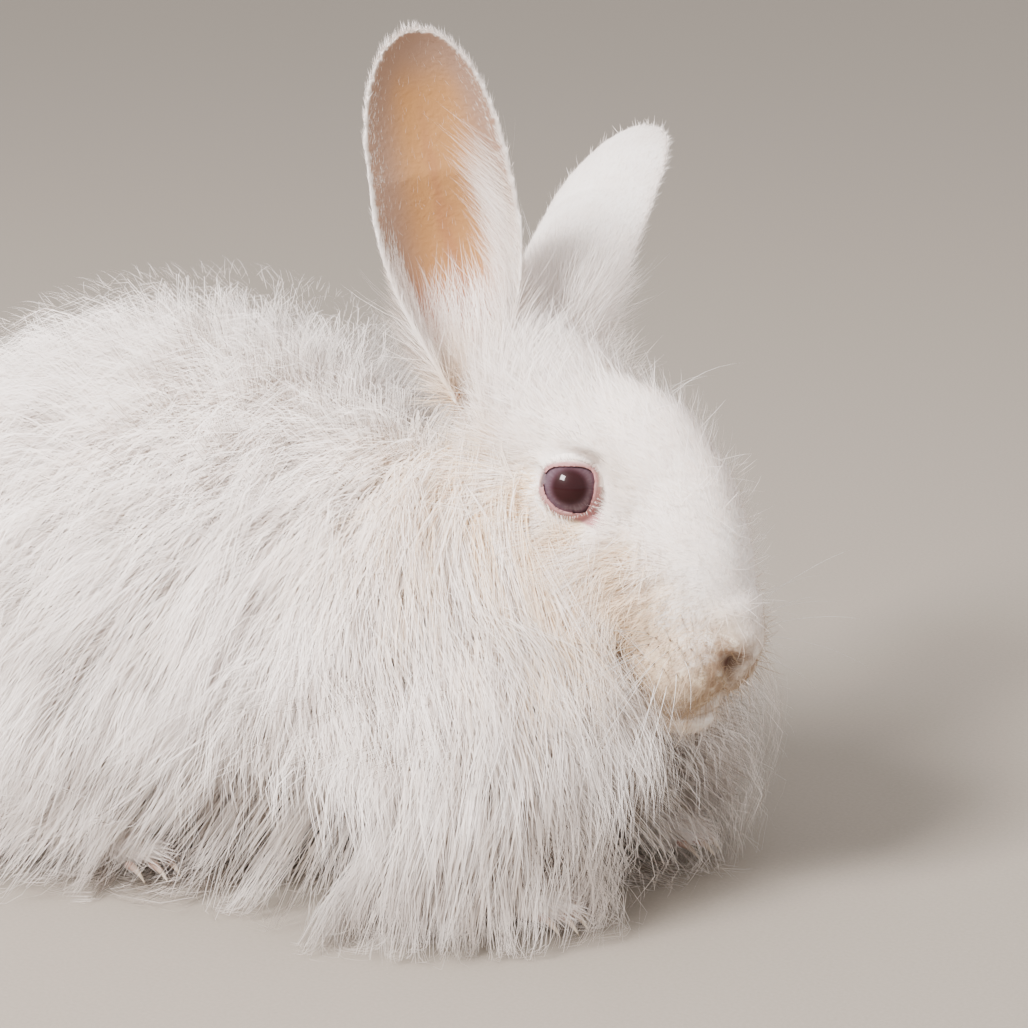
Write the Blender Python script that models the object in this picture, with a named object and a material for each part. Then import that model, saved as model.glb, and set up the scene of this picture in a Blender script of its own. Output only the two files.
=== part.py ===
# Angora rabbit, life size, crouched on the floor with its head up and its right side to the viewer.
# The solids are the outline of the coat, out to the tips of the hair, parted by thin cuts where the
# body's own parts meet. Metres, +X is the way the body faces, +Y its left side, +Z up. The origin is
# on the floor under the middle of the body.
import math

import bmesh
import bpy
from mathutils import Euler, Matrix, Vector

# Driving sizes of the coat's outline
BODY_LENGTH = 0.310
BODY_WIDTH = 0.232
BACK_HEIGHT = 0.165
HEM_HEIGHT = 0.0025
TAIL_RADIUS = 0.024
# The head is measured from a point a little in front of the eyes and above them
HEAD_PLACE = Vector((0.1235, 0.0, 0.124))
HEAD_PITCH = math.radians(30)
EYE_RADIUS = 0.0088
EYE_SPREAD = 0.0167
EYE_SETBACK = 0.0042
EYE_DROP = 0.0042
EAR_LENGTH = 0.1090
EAR_HALF_WIDTH = 0.0208
EAR_WALL = 0.0044
# Feet, with their fur
HIND_FOOT = Vector((0.094, 0.025, 0.016))
FORE_FOOT = Vector((0.040, 0.021, 0.015))
CUT_GAP = 0.0004

# Finish of each part: colour and roughness
WHITE_COAT = ("white_coat", (0.86, 0.82, 0.79), 0.85)
CREAM_COAT = ("cream_coat", (0.80, 0.74, 0.66), 0.85)
EAR_SKIN = ("ear_skin", (0.84, 0.70, 0.62), 0.70)
EYE_GLOSS = ("eye_gloss", (0.12, 0.05, 0.07), 0.08)


def clear_scene():
    for old in list(bpy.data.objects):
        bpy.data.objects.remove(old, do_unlink=True)


def set_finish(obj, finish):
    """One Principled material for this object alone, named after the object and the finish."""
    name, colour, roughness = finish
    made = bpy.data.materials.new(f"{obj.name}_{name}")
    made.use_nodes = True
    shader = made.node_tree.nodes["Principled BSDF"]
    shader.inputs["Base Color"].default_value = (*colour, 1.0)
    shader.inputs["Roughness"].default_value = roughness
    shader.inputs["Metallic"].default_value = 0.0
    obj.data.materials.clear()
    obj.data.materials.append(made)


def add_object(name, mesh):
    made = bpy.data.objects.new(name, mesh)
    bpy.context.scene.collection.objects.link(made)
    return made


def from_bmesh(name, shape):
    mesh = bpy.data.meshes.new(name)
    shape.to_mesh(mesh)
    shape.free()
    return add_object(name, mesh)


def with_modifiers_applied(obj):
    """The same object by name, with the mesh that its modifiers give."""
    name = obj.name
    bpy.context.view_layer.update()
    graph = bpy.context.evaluated_depsgraph_get()
    mesh = bpy.data.meshes.new_from_object(obj.evaluated_get(graph))
    mesh.transform(obj.matrix_world)
    bpy.data.objects.remove(obj, do_unlink=True)
    return add_object(name, mesh)


def add_egg(shape, centre, front, back, side, up, down, turn=(0, 0, 0), segments=40, rings=24):
    """A ball with its own half-lengths to the front, back, sides, top and bottom, turned about its
    centre by three angles in degrees."""
    ball = bmesh.ops.create_uvsphere(shape, u_segments=segments, v_segments=rings, radius=1.0)
    turned = Euler([math.radians(angle) for angle in turn]).to_matrix()
    for point in ball["verts"]:
        x, y, z = point.co
        stretched = Vector((x * (front if x > 0 else back), y * side, z * (up if z > 0 else down)))
        point.co = Vector(centre) + turned @ stretched


def both_sides(masses):
    """The masses as they are, and again across the middle plane."""
    across = []
    for mass in masses:
        x, y, z = mass["centre"]
        roll, pitch, yaw = mass.get("turn", (0, 0, 0))
        across.append(dict(mass, centre=(x, -y, z), turn=(-roll, pitch, -yaw)))
    return masses + across


def melted(name, masses, voxel, softening, triangles):
    """Masses melted into one closed form, softened, and reduced to about that many triangles."""
    shape = bmesh.new()
    for mass in masses:
        add_egg(shape, **mass)
    obj = from_bmesh(name, shape)
    melt = obj.modifiers.new("melt", "REMESH")
    melt.mode = "VOXEL"
    melt.voxel_size = voxel
    soften = obj.modifiers.new("soften", "SMOOTH")
    soften.factor = 0.5
    soften.iterations = softening
    obj = with_modifiers_applied(obj)
    obj.data.calc_loop_triangles()
    thin = obj.modifiers.new("thin", "DECIMATE")
    thin.ratio = triangles / len(obj.data.loop_triangles)
    return with_modifiers_applied(obj)


def grown(obj, by=CUT_GAP):
    """A cutter: the same form, larger by the gap all over."""
    cutter = add_object(obj.name + "_cutter", obj.data.copy())
    if by:
        swell = cutter.modifiers.new("swell", "DISPLACE")
        swell.strength = by
        swell.mid_level = 0.0
    cutter.hide_render = True
    cutter.display_type = "WIRE"
    return cutter


def combined(obj, operation, others):
    """The object after one Boolean of that kind with each of the others, which stay as they are."""
    for other in others:
        joint = obj.modifiers.new(operation.lower(), "BOOLEAN")
        joint.operation = operation
        joint.object = other
    return with_modifiers_applied(obj)


def copy_of(obj, name):
    return add_object(name, obj.data.copy())


def cut_level(obj, height):
    """Removes what is below that height and closes the cut with one flat face."""
    shape = bmesh.new()
    shape.from_mesh(obj.data)
    everything = shape.verts[:] + shape.edges[:] + shape.faces[:]
    cut = bmesh.ops.bisect_plane(shape, geom=everything, plane_co=(0, 0, height), plane_no=(0, 0, 1),
                                 clear_inner=True)
    rim = [edge for edge in cut["geom_cut"] if isinstance(edge, bmesh.types.BMEdge)]
    bmesh.ops.holes_fill(shape, edges=rim)
    bmesh.ops.triangulate(shape, faces=shape.faces)
    shape.to_mesh(obj.data)
    shape.free()


def body_outline():
    """The coat of trunk, chest, shoulders, thighs and rump in one form, cut level at the hem."""
    half_length = BODY_LENGTH / 2
    half_width = BODY_WIDTH / 2
    middle = [
        # barrel of the body, highest a little behind the middle
        dict(centre=(-0.026, 0, 0.042), front=0.118, back=0.126, side=half_width,
             up=BACK_HEIGHT - 0.042, down=0.120),
        # rump
        dict(centre=(-0.070, 0, 0.048), front=0.080, back=half_length - 0.069, side=half_width * 0.93,
             up=0.104, down=0.110),
        # chest, with the bib of long hair under the chin
        dict(centre=(0.062, 0, 0.046), front=half_length - 0.054, back=0.110, side=half_width * 0.90,
             up=0.066, down=0.080),
        # shoulders and nape
        dict(centre=(0.030, 0, 0.080), front=0.062, back=0.090, side=half_width * 0.58,
             up=0.069, down=0.070),
        # ruff of long hair round the back of the cheeks
        dict(centre=(0.080, 0, 0.084), front=0.044, back=0.060, side=0.074, up=0.040, down=0.070),
    ]
    thighs = [dict(centre=(-0.058, 0.060, 0.040), front=0.066, back=0.060, side=0.055, up=0.064,
                   down=0.090)]
    body = melted("body", middle + both_sides(thighs), voxel=0.006, softening=12, triangles=1900)
    cut_level(body, HEM_HEIGHT)
    return body


def head_frame():
    """Place of the skull: X along it to the front, Z to the crown."""
    return Matrix.Translation(HEAD_PLACE) @ Matrix.Rotation(HEAD_PITCH, 4, "Y")


def head_outline():
    """Crown, brow, bridge of the nose, whisker pads, cheeks and chin, melted together."""
    middle = [
        # cranium and forehead
        dict(centre=(-0.022, 0, 0.000), front=0.036, back=0.032, side=0.027, up=0.027, down=0.034),
        dict(centre=(0.004, 0, 0.006), front=0.028, back=0.034, side=0.020, up=0.0245, down=0.024),
        # bridge of the nose, falling steeply to the tip
        dict(centre=(0.031, 0, -0.003), front=0.036, back=0.034, side=0.0185, up=0.0168, down=0.024,
             turn=(0, 45, 0)),
        dict(centre=(0.050, 0, -0.021), front=0.0135, back=0.016, side=0.0138, up=0.0165, down=0.0155),
        # chin and lower jaw
        dict(centre=(0.050, 0, -0.045), front=0.0120, back=0.027, side=0.0125, up=0.012, down=0.0115,
             turn=(0, -30, 0)),
        dict(centre=(0.020, 0, -0.030), front=0.030, back=0.036, side=0.0160, up=0.020, down=0.019),
    ]
    sides = [
        # whisker pads
        dict(centre=(0.046, 0.0090, -0.029), front=0.0158, back=0.022, side=0.0130, up=0.0165,
             down=0.0152),
        # from the pads back to the cheeks
        dict(centre=(0.022, 0.0105, -0.022), front=0.030, back=0.028, side=0.0140, up=0.018,
             down=0.019),
        # cheeks
        dict(centre=(-0.004, 0.0120, -0.024), front=0.040, back=0.036, side=0.0190, up=0.026,
             down=0.028),
        # brow over the eye
        dict(centre=(-0.005, 0.0150, 0.008), front=0.016, back=0.016, side=0.0085, up=0.010,
             down=0.012),
    ]
    head = melted("head", middle + both_sides(sides), voxel=0.0020, softening=8, triangles=1250)
    head.data.transform(head_frame())
    return head


def ear_half_width(t):
    """Half of the ear's breadth at t of its length: narrow at the root, broadest at the middle, blunt
    at the tip."""
    if t < 0.5:
        root = 0.30
        return EAR_HALF_WIDTH * (root + (1 - root) * math.sin(math.pi * t) ** 1.2)
    return EAR_HALF_WIDTH * max(0.0, 1 - ((t - 0.5) / 0.5) ** 2.6) ** 0.5


def ear(name, base, lean, opening, along=16, across=8):
    """A scoop: nearly a tube at the root, opening into a long blunt leaf that bends back a little.
    lean is the way that the ear points, opening the way that its hollow faces."""
    up = Vector(lean).normalized()
    out = Vector(opening)
    out = (out - up * out.dot(up)).normalized()
    side = up.cross(out)
    shape = bmesh.new()
    rows = []
    for i in range(along + 1):
        t = 1 - (1 - i / along) ** 1.25
        half = max(ear_half_width(t), 0.0030)
        arc = math.radians(118 - 78 * min(1.0, t / 0.6))
        radius = half / math.sin(min(arc, math.pi / 2))
        middle = Vector(base) + up * EAR_LENGTH * t - out * 0.007 * math.sin(math.pi * t)
        row = []
        for j in range(across + 1):
            angle = (2 * j / across - 1) * arc
            depth = radius * (math.cos(angle) - math.cos(arc))
            row.append(shape.verts.new(middle + side * radius * math.sin(angle) - out * depth))
        rows.append(row)
    for low, high in zip(rows, rows[1:]):
        for j in range(across):
            shape.faces.new((low[j], low[j + 1], high[j + 1], high[j]))
    obj = from_bmesh(name, shape)
    wall = obj.modifiers.new("wall", "SOLIDIFY")
    wall.thickness = EAR_WALL
    wall.offset = 0.0
    return with_modifiers_applied(obj)


def eye(name, centre):
    shape = bmesh.new()
    bmesh.ops.create_uvsphere(shape, u_segments=14, v_segments=9, radius=EYE_RADIUS)
    obj = from_bmesh(name, shape)
    obj.data.transform(Matrix.Translation(centre))
    return obj


def foot(name, size, toe, y, splay):
    """A long rounded foot with a flat sole on the floor, its toe at that X, turned outwards by splay
    degrees."""
    sole_drop = size.z * 0.45
    obj = region(name, centre=(toe - size.x / 2, y, sole_drop * 0.6), front=size.x / 2, back=size.x / 2,
                 side=size.y / 2, up=size.z - sole_drop * 0.6, down=sole_drop, turn=(0, 0, splay))
    cut_level(obj, 0.0)
    return obj


def region(name, **mass):
    """A plain egg that marks off one part of the body."""
    shape = bmesh.new()
    add_egg(shape, segments=16, rings=9, **mass)
    return from_bmesh(name, shape)


def main():
    clear_scene()
    body = body_outline()
    head = head_outline()
    frame = head_frame()

    eyes = []
    for name, sign in (("eye_right", -1), ("eye_left", 1)):
        eyes.append(eye(name, frame @ Vector((-EYE_SETBACK, sign * EYE_SPREAD, -EYE_DROP))))
    ears = [
        ear("ear_right", frame @ Vector((-0.042, -0.015, -0.004)), (-0.10, -0.14, 0.98),
            (0.56, -0.80, 0.0)),
        ear("ear_left", frame @ Vector((-0.036, 0.015, 0.000)), (-0.25, 0.78, 0.56),
            (0.18, 0.44, -0.74)),
    ]
    tail = region("tail", centre=(-BODY_LENGTH / 2 + 0.006, 0, 0.054), front=TAIL_RADIUS,
                  back=TAIL_RADIUS * 0.78, side=TAIL_RADIUS * 1.1, up=TAIL_RADIUS * 1.35,
                  down=TAIL_RADIUS * 1.1)
    neck_region = region("neck_region", centre=(0.072, 0, 0.104), front=0.050, back=0.036, side=0.084,
                         up=0.060, down=0.044, turn=(0, 25, 0))
    parts = {}
    leg_regions = []
    feet = []
    for side, sign in (("right", -1), ("left", 1)):
        hind = region("hindleg_region_" + side, centre=(-0.052, sign * 0.088, 0.034), front=0.060,
                      back=0.058, side=0.050, up=0.062, down=0.060)
        fore = region("foreleg_region_" + side, centre=(0.098, sign * 0.060, 0.020), front=0.060,
                      back=0.040, side=0.042, up=0.050, down=0.050)
        hind_foot = foot("hind_foot_" + side, HIND_FOOT, 0.018, sign * 0.066, sign * 7)
        fore_foot = foot("fore_foot_" + side, FORE_FOOT, 0.134, sign * 0.034, sign * 5)
        leg_regions += [hind, fore]
        feet += [hind_foot, fore_foot]
        for kind, mark, end in (("hindleg_", hind, hind_foot), ("foreleg_", fore, fore_foot)):
            leg = combined(copy_of(body, kind + side), "INTERSECT", [mark])
            parts[kind + side] = combined(leg, "UNION", [end])
    head_cutter = with_modifiers_applied(grown(head))
    neck = combined(copy_of(body, "neck"), "INTERSECT", [neck_region])
    cutters = [head_cutter] + [with_modifiers_applied(grown(mark)) for mark in leg_regions]
    parts["neck"] = combined(neck, "DIFFERENCE", cutters)
    cutters += [with_modifiers_applied(grown(mark)) for mark in [neck_region] + feet]
    parts["trunk"] = combined(copy_of(body, "trunk"), "DIFFERENCE", cutters)
    parts["tail"] = combined(tail, "DIFFERENCE", [with_modifiers_applied(grown(body))])
    parts["head"] = combined(head, "DIFFERENCE", [with_modifiers_applied(grown(one)) for one in eyes])
    body_cutter = with_modifiers_applied(grown(body))
    for one in ears:
        name = one.name
        parts[name] = combined(one, "DIFFERENCE", [head_cutter, body_cutter])
    for one in eyes:
        parts[one.name] = one

    for obj in list(bpy.data.objects):
        if obj.name not in parts:
            bpy.data.objects.remove(obj, do_unlink=True)
    for obj in bpy.data.objects:
        obj.data.polygons.foreach_set("use_smooth", [True] * len(obj.data.polygons))
        finish = WHITE_COAT
        if obj.name == "neck":
            finish = CREAM_COAT
        if obj.name.startswith("ear"):
            finish = EAR_SKIN
        if obj.name.startswith("eye"):
            finish = EYE_GLOSS
        set_finish(obj, finish)


main()
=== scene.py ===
import math

import bmesh
import bpy
import numpy as np
from mathutils import Matrix, Vector


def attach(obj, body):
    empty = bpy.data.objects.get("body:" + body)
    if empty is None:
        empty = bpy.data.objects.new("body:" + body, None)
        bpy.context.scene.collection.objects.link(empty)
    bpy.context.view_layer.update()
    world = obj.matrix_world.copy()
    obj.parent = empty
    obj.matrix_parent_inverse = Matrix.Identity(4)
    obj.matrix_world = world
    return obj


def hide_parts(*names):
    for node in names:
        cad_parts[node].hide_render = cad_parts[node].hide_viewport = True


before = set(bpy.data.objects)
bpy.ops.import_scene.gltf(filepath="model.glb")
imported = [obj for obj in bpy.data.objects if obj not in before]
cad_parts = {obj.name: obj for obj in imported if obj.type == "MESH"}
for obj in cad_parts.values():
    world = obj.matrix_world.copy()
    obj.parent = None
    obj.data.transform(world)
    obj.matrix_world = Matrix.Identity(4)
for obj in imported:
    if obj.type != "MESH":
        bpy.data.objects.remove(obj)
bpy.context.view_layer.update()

mm = 0.001
rng = np.random.default_rng(11)
furNodes = ["trunk", "neck", "head", "tail", "foreleg_right", "foreleg_left", "hindleg_right",
            "hindleg_left"]
earNodes = ["ear_right", "ear_left"]

# the skull's own axes, as the solids have them: x along the snout, z to the crown
skull = {"place": (123.5, 0.0, 124.0), "pitch": 30.0}
pitch = math.radians(skull["pitch"])
skullTurn = np.array([[math.cos(pitch), 0, math.sin(pitch)], [0, 1, 0], [-math.sin(pitch), 0, math.cos(pitch)]])
skullPlace = np.array(skull["place"])


def fromSkull(points):        # skull axes in mm to the frame in mm: turned by the pitch, then moved
    return points @ skullTurn.T + skullPlace


def toSkull(points):          # and back
    return (points - skullPlace) @ skullTurn


def smooth(low, high, x):     # 0 below low, 1 above high, an S between
    t = np.clip((x - low) / (high - low), 0, 1)
    return t * t * (3 - 2 * t)


def unit(v):                  # each vector divided by its length
    return v / np.maximum(np.linalg.norm(v, axis=-1, keepdims=True), 1e-12)


def bell(x, width):           # 1 at 0, falling both ways as e to minus the square of x over width
    return np.exp(-(x / width) ** 2)


def swirl(p, size):
    # a smooth field of vectors without a pattern: sines of three slanting waves, size mm long, bent by one another
    waves = np.array([[0.81, 0.32, -0.56], [0.45, -0.88, 0.29], [-0.54, 0.39, 0.86]])
    first = p @ waves.T * (2 * math.pi / size)
    bent = np.sin(first + 1.3 * np.sin(first[..., [1, 2, 0]] * 0.61 + 2.0))
    return 0.6 * bent + 0.4 * np.sin(first[..., [2, 0, 1]] * 1.7 + 0.7)


def placed(name, data):       # a new object of the scene, at the origin
    obj = bpy.data.objects.new(name, data)
    bpy.context.scene.collection.objects.link(obj)
    return obj


# meshes from arrays, in mm on the way in and metres in the mesh
def meshObject(name, points, faces):
    mesh = bpy.data.meshes.new(name)
    mesh.vertices.add(len(points))
    mesh.vertices.foreach_set("co", (np.asarray(points, np.float32) * mm).ravel())
    if len(faces):
        sizes = np.concatenate([np.full(len(group), group.shape[1]) for group in faces])
        corners = np.concatenate([group.ravel() for group in faces])
        mesh.loops.add(len(corners))
        mesh.loops.foreach_set("vertex_index", corners.astype(np.int32))
        mesh.polygons.add(len(sizes))
        mesh.polygons.foreach_set("loop_start", (np.cumsum(sizes) - sizes).astype(np.int32))
    mesh.update(calc_edges=True)
    mesh.polygons.foreach_set("use_smooth", np.full(len(mesh.polygons), True))
    return placed(name, mesh)


def triples(items, key, kind=np.float32):     # what each vertex or triangle says under that key, a row for each
    numbers = np.empty(len(items) * 3, kind)
    items.foreach_get(key, numbers)
    return numbers.reshape(-1, 3)


def pointsOf(mesh):           # in mm
    return triples(mesh.vertices, "co").astype(float) / mm


def normalsOf(mesh):
    return triples(mesh.vertices, "normal").astype(float)


def trianglesOf(mesh):
    mesh.calc_loop_triangles()
    return triples(mesh.loop_triangles, "vertices", np.int32)


def closedRings(rings):       # rows of rings closed round and capped by a point at each end
    rows, cols = rings.shape[:2]
    points = np.vstack([rings.reshape(-1, 3), rings[0].mean(0), rings[-1].mean(0)])
    i, j = np.meshgrid(np.arange(rows - 1), np.arange(cols), indexing="ij")
    k = (j + 1) % cols
    quads = np.stack([i * cols + j, i * cols + k, (i + 1) * cols + k, (i + 1) * cols + j], -1).reshape(-1, 4)
    j = np.arange(cols)
    k = (j + 1) % cols
    low = np.stack([k, j, np.full(cols, rows * cols)], -1)
    high = np.stack([(rows - 1) * cols + j, (rows - 1) * cols + k, np.full(cols, rows * cols + 1)], -1)
    return points, [quads, np.vstack([low, high])]


def joined(shapes):           # several (points, faces) as one
    points, quads, tris, start = [], [], [], 0
    for shapePoints, shapeFaces in shapes:
        points.append(shapePoints)
        for group in shapeFaces:
            (quads if group.shape[1] == 4 else tris).append(group + start)
        start += len(shapePoints)
    faces = [np.vstack(group) for group in (quads, tris) if group]
    return np.vstack(points), faces


def finished(obj):            # the mesh that the modifiers give, and the object gone
    bpy.context.view_layer.update()
    graph = bpy.context.evaluated_depsgraph_get()
    mesh = bpy.data.meshes.new_from_object(obj.evaluated_get(graph))
    bpy.data.objects.remove(obj, do_unlink=True)
    return mesh


def egg(x, y, z, front, back, side, up, down, pitch=0, yaw=0, rows=22, cols=36):
    # a ball over longitude and latitude, with its own half-length each way along its axes, turned and moved
    lat = np.linspace(0, math.pi, rows + 2)[1:-1, None]
    lon = np.linspace(0, 2 * math.pi, cols, endpoint=False)[None, :]
    along = np.cos(lon) * np.sin(lat)
    across = np.sin(lon) * np.sin(lat)
    high = -np.cos(lat) + 0 * lon
    along = along * np.where(along > 0, front, back)
    high = high * np.where(high > 0, up, down)
    turned = np.array(Matrix.Rotation(math.radians(yaw), 3, "Z") @ Matrix.Rotation(math.radians(pitch), 3, "Y"))
    return closedRings(np.stack([along, across * side, high], -1) @ turned.T + np.array((x, y, z)))


def bothSides(masses):        # the masses and their mirror images across the middle
    full = [mass + (0,) * (10 - len(mass)) for mass in masses]
    return full + [(x, -y, *rest, -yaw) for x, y, *rest, yaw in full]


# the flesh under the coat, in mm: centre, half-lengths front, back, side, up and down, then pitch and yaw
headMasses = [
    (-22, 0, 0, 34, 28, 21, 20, 28),
    (4, 0, 4, 26, 30, 16.5, 20.8, 20),
    (30, 0, -4.5, 36.0, 34, 15.8, 16.0, 20, 45),
    (45, 0, -12, 12, 14, 12, 9.6, 10),
    (49.5, 0, -21, 12.3, 16, 12.0, 14.8, 14),
    (49.5, 0, -44.5, 11.0, 25, 10, 10, 9, -30),
    (18, 0, -30, 28, 34, 13, 18, 16),
] + bothSides([
    (45.5, 8.0, -29, 14.3, 20, 11.3, 15, 13.6),
    (22, 9, -22, 28, 26, 12.0, 16, 17),
    (-4, 9.5, -22, 37, 32, 15, 23, 23),
    (-5, 13.5, 7, 14, 14, 7.5, 8, 10),
])
bodyMasses = [
    (-35, 0, 64, 95, 92, 64, 60, 54),
    (-92, 0, 58, 50, 44, 50, 50, 46),
    (50, 0, 72, 52, 60, 50, 44, 54),
    (80, 0, 96, 42, 44, 30, 27, 32, -28),
    (88, 0, 52, 36, 40, 42, 36, 38),
    (-142, 0, 60, 16, 12, 9, 20, 13),
] + bothSides([
    (-55, 52, 48, 50, 42, 28, 44, 42),
    (-29, 66, 8.0, 45, 45, 11, 8, 7.4, 0, 7),
    (100, 32, 30, 17, 20, 15, 36, 28),
    (114, 34, 7.4, 19, 20, 9.4, 7, 6.8, 0, 5),
])

# the ears, as the solids have them, in mm; the sheet is an arc that opens from a tube into a leaf
earHalfWidth = 20.8
earSkin = {"wall": 2.3, "rows": 150, "cols": 60, "bow": 7}
ears = {
    "right": dict(length=105.0, base=(-42, -15, -4), lean=(-0.10, -0.14, 0.98), opening=(0.56, -0.80, 0.0)),
    "left": dict(length=108.0, base=(-36, 15, 0), lean=(-0.25, 0.78, 0.56), opening=(0.18, 0.44, -0.74)),
}
for ear in ears.values():
    ear["base"] = fromSkull(np.array(ear["base"], float))
    ear["up"] = unit(np.array(ear["lean"], float))
    opening = np.array(ear["opening"], float)
    ear["out"] = unit(opening - ear["up"] * (opening @ ear["up"]))
    ear["side"] = np.cross(ear["up"], ear["out"])


def earArc(t):                # half width, half angle and radius of the sheet's arc at t of the length
    root = earHalfWidth * (0.30 + 0.70 * np.sin(math.pi * np.clip(t, 0, 0.5)) ** 1.2)
    blunt = earHalfWidth * np.sqrt(np.clip(1 - (np.clip(t - 0.5, 0, 0.5) / 0.5) ** 2.6, 0, 1))
    half = np.maximum(np.where(t < 0.5, root, blunt), 1.2)
    arc = np.radians(118 - 78 * np.minimum(1, np.clip(t, 0, 1) / 0.6))
    return half, arc, half / np.sin(np.minimum(arc, math.pi / 2))


def earSheet(ear, t, a):      # a place on the sheet at t along and a from -1 to 1 across, and its inner normal
    half, arc, radius = earArc(t)
    angle = a * arc
    bow = earSkin["bow"] * np.sin(math.pi * t)        # the ear curves back half-way up
    middle = ear["base"] + ear["up"] * (ear["length"] * t)[..., None] - ear["out"] * bow[..., None]
    place = (middle + ear["side"] * (radius * np.sin(angle))[..., None]
             - ear["out"] * (radius * (np.cos(angle) - np.cos(arc)))[..., None])
    inner = ear["out"] * np.cos(angle)[..., None] - ear["side"] * np.sin(angle)[..., None]
    return place, inner


def earShell(ear):            # the sheet's two faces as closed rings, thinning to the edge and the tip
    t = (1 - (1 - np.linspace(0.0, 1, earSkin["rows"])) ** 1.35)[:, None]
    turn = np.linspace(0, 2 * math.pi, earSkin["cols"], endpoint=False)[None, :]
    a = np.sin(turn) * 0.97
    face = np.cos(turn)
    place, inner = earSheet(ear, t + 0 * turn, a + 0 * t)
    wall = earSkin["wall"] * (1 - 0.35 * t ** 2)
    ridge = 1 + 0.8 * bell(a, 0.16) * (1 - t)
    return closedRings(place + inner * (0.5 * wall * np.sign(face) * np.abs(face) ** 0.5 * ridge)[..., None])


# eyes: places in skull axes, and the way that each looks
eye = {"place": (-4.2, 16.7, -4.2), "radius": 8.8, "look": (0.50, 0.84, 0.20),
       "snap": 0.18, "upperLid": 5.8,         # height of the straight upper lid over the middle
       "almondTurns": [-180, -135, -90, -59, -30, 0, 40, 140, 180],       # degrees up from straight ahead
       "almondReach": [7.2, 6.7, 7.0, 8.2, 6.9, 6.6, 7.6, 7.8, 7.2]}
eyes = {}
for sideName, sign in (("right", -1), ("left", 1)):
    look = unit(np.array(eye["look"]) * (1, sign, 1))
    upward = np.array([0.0, 0.0, 1.0])
    upward = unit(upward - look * (upward @ look))
    eyes[sideName] = dict(centre=fromSkull(np.array(eye["place"]) * (1, sign, 1)), look=look, upward=upward,
                          forward=np.cross(upward, look) * -sign)


def lidReach(degrees):        # from the middle of the opening to its edge, cut off straight by the upper lid
    almond = np.interp(degrees, eye["almondTurns"], eye["almondReach"])
    cut = eye["upperLid"] / np.maximum(np.sin(np.radians(degrees)), 0.05)
    return (almond ** -6 + cut ** -6) ** (-1 / 6)


def lidDistance(one, points):   # how far outside the lids' almond a point lies, its distance out along the look
    q = points - one["centre"]
    u = q @ one["forward"]
    v = q @ one["upward"]
    angle = np.arctan2(v, u)
    almond = lidReach(np.degrees(angle))
    r = np.hypot(u, v)
    return r - almond, q @ one["look"], r, angle


def eyeGap(points):           # mm outside the bare rim of the nearer eye's lids and the bare corner before it
    gap = np.full(len(points), 60.0)
    for one in eyes.values():
        d, depth, r, angle = lidDistance(one, points)
        rim = 0.9 + 0.6 * (angle < 0) + 4.4 * bell(angle + 0.86, 0.30)
        gap = np.where(depth > -6, np.minimum(gap, d - rim), gap)
    return gap


# hollows of the face, in mm: across and up in skull axes, and the mouth by its height over the floor
face = {"nostril": (5.6, -21.0), "nostrilDeep": 4.8, "wing": 0.5, "fold": 1.2, "cleft": 1.3, "mouth": 1.5, "lip": 0.5,
        "crease": 0.6, "mouthHeight": 60.0, "mouthSlope": 0.10, "mouthFront": 164, "lidThick": 0.55, "lidBead": 0.80}


def mouthHeight(x):           # the mouth's line, falling evenly from the front to its corner
    return face["mouthHeight"] - face["mouthSlope"] * (face["mouthFront"] - x)


def sculptFace(points, normals):
    # lids that hug the eyeball, the fold before the eye, nostrils, lips and the furrows of the pads
    moved = points.copy()
    for one in eyes.values():
        d, depth, r, angle = lidDistance(one, points)
        near = (depth > 0) & (r < 16)
        q = points - one["centre"]
        u, v = q @ one["forward"], q @ one["upward"]
        rim = near & (np.abs(d) < eye["snap"])      # points this near the lids' edge are drawn onto it
        radial = (one["forward"] * u[:, None] + one["upward"] * v[:, None]) / np.maximum(r, 1)[:, None]
        moved -= radial * (d * rim)[:, None]
        d = np.where(rim, 0, d)
        hug = np.sqrt(np.clip((eye["radius"] + face["lidThick"]) ** 2 - np.minimum(r, 9.0) ** 2, 0, None))
        hug = hug + face["lidBead"] * bell(d - 0.9, 0.85)
        weight = np.where(near, 1 - smooth(0.8, 6.5, d), 0)
        target = depth + (hug - depth) * weight
        inside = near & (d < 0)
        target = np.where(inside, -1.0 - 0.4 * np.abs(d), target)
        down = np.clip((5.4 - v) / 16.4, 0, 1)
        crease = bell(u - 6.6 - 4.2 * down, 1.1) * (v > -12) * (v < 6.5) * (depth > 0) * smooth(0.6, 1.8, d)
        moved += one["look"] * (target - depth - face["crease"] * crease)[:, None]
    s = toSkull(points)
    x, y, z = s[:, 0], np.abs(s[:, 1]), s[:, 2]
    dent = np.zeros(len(points))
    # a comma-shaped nostril each side, slanting up and out, with a raised wing
    ny, nz = face["nostril"]
    along = (z - nz) * 0.80 + (y - ny) * 0.60
    across = (y - ny) * 0.80 - (z - nz) * 0.60
    front = smooth(46, 52, x)
    dent += face["nostrilDeep"] * bell(along, 3.6) * bell(across - 0.03 * along ** 2, 2.5) * front
    dent -= face["wing"] * bell(along, 4.6) * bell(across - 4.4, 1.8) * front
    dent += face["fold"] * bell(z + 15 - 0.9 * (x - 28), 2.2) * bell(x - 28, 8) * smooth(6, 10, y)
    # the cleft under the nose, then the mouth, from the cleft to its corner, and the lip over it
    wx, wy, wz = points[:, 0], np.abs(points[:, 1]), points[:, 2]
    dent += face["cleft"] * bell(wy, 0.9) * smooth(58, 62, wz) * (1 - smooth(72, 76, wz)) * smooth(150, 156, wx)
    mouth = mouthHeight(wx)
    dent += face["mouth"] * bell(wz - mouth, 1.2) * smooth(139, 145, wx)
    dent -= face["lip"] * bell(wz - mouth - 3.2, 1.8) * smooth(142, 150, wx)
    return moved - normals * dent[:, None]


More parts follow.
